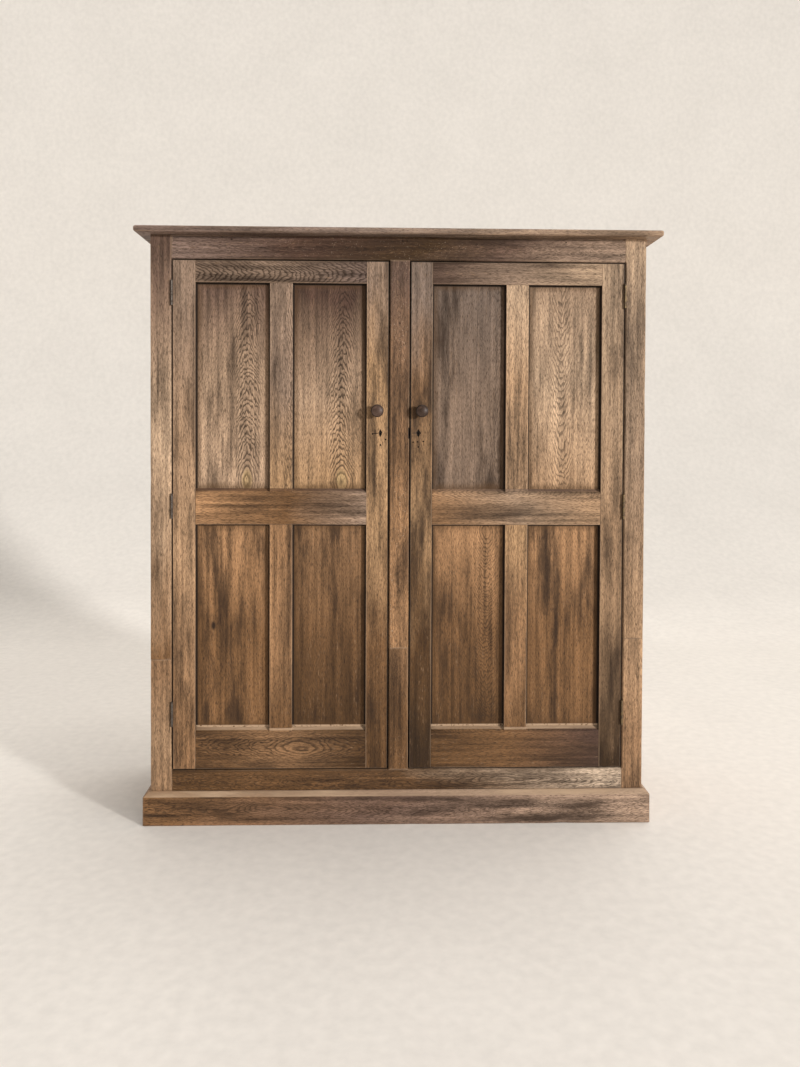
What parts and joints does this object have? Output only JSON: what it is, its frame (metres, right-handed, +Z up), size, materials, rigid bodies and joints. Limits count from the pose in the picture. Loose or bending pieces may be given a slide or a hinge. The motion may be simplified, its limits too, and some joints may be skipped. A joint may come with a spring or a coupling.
{
  "type": "cupboard",
  "caption": "Tall free-standing panelled oak cupboard with two hinged doors, turned knobs, cut locks, shelves inside, a flat overhanging top and a plinth.",
  "frame": {"origin": "centre of the cupboard's footprint on the floor, under the middle of its overall box", "axes": "+X to the right seen from the front, +Y from the doors to the back, +Z up"},
  "size_m": [1.608, 0.518, 1.83],
  "materials": {
    "frame_oak": "old worn varnish, satin",
    "panel_oak": "old worn varnish, satin",
    "new_oak": "waxed, satin",
    "inner_boards": "bare, matt",
    "turned_wood": "polished dark stain",
    "hinge_metal": "tarnished",
    "screw_metal": "tarnished",
    "lock_iron": "dull iron"
  },
  "bodies": {
    "carcass": {"back_boards": "inner_boards", "bottom_board": "inner_boards", "centre_post": "frame_oak", "centre_post_foot": "new_oak", "door_stops": "inner_boards", "frame_bottom_rail": "frame_oak", "frame_hinge_screws": "screw_metal", "frame_top_rail": "frame_oak", "hinge_pins": "hinge_metal", "left_frame_hinge_leaves": "hinge_metal", "plinth_front": "frame_oak", "plinth_left": "frame_oak", "plinth_right": "frame_oak", "right_frame_hinge_leaves": "hinge_metal", "shelf_back_cleats": "inner_boards", "shelf_lower": "inner_boards", "shelf_middle": "inner_boards", "shelf_side_cleats": "inner_boards", "shelf_upper": "inner_boards", "side_left": "frame_oak", "side_right": "frame_oak", "stile_left": "frame_oak", "stile_left_foot": "new_oak", "stile_right": "frame_oak", "stile_right_foot": "new_oak", "top_board": "frame_oak"},
    "left_door": {"left_door_bottom_rail": "frame_oak", "left_door_hinge_leaves": "hinge_metal", "left_door_hinge_stile": "frame_oak", "left_door_lock_stile": "frame_oak", "left_door_lower_inner_panel": "panel_oak", "left_door_lower_muntin": "frame_oak", "left_door_lower_outer_panel": "panel_oak", "left_door_mid_rail": "frame_oak", "left_door_screws": "screw_metal", "left_door_top_rail": "frame_oak", "left_door_upper_inner_panel": "panel_oak", "left_door_upper_muntin": "frame_oak", "left_door_upper_outer_panel": "panel_oak", "left_knob": "turned_wood", "left_lock_case": "lock_iron"},
    "right_door": {"right_door_bottom_rail": "frame_oak", "right_door_hinge_leaves": "hinge_metal", "right_door_hinge_stile": "frame_oak", "right_door_lock_stile": "frame_oak", "right_door_lower_inner_panel": "panel_oak", "right_door_lower_muntin": "frame_oak", "right_door_lower_outer_panel": "panel_oak", "right_door_mid_rail": "frame_oak", "right_door_screws": "screw_metal", "right_door_top_rail": "frame_oak", "right_door_upper_inner_panel": "panel_oak", "right_door_upper_muntin": "frame_oak", "right_door_upper_outer_panel": "panel_oak", "right_knob": "turned_wood", "right_lock_case": "lock_iron"},
    "left_bolt": {"left_lock_bolt": "lock_iron"},
    "right_bolt": {"right_lock_bolt": "lock_iron"}
  },
  "joints": [
    {"name": "left_door_hinge", "type": "hinge", "parent": "carcass", "child": "left_door", "pos_m": [-0.69675, -0.225, 0.981], "axis": [0, 0, -1], "range_deg": [0, 170]},
    {"name": "right_door_hinge", "type": "hinge", "parent": "carcass", "child": "right_door", "pos_m": [0.69675, -0.225, 0.981], "axis": [0, 0, 1], "range_deg": [0, 170]},
    {"name": "left_bolt_slide", "type": "slide", "parent": "left_door", "child": "left_bolt", "axis": [1, 0, 0], "range_m": [0, 0.01]},
    {"name": "right_bolt_slide", "type": "slide", "parent": "right_door", "child": "right_bolt", "axis": [-1, 0, 0], "range_m": [0, 0.01]}
  ]
}
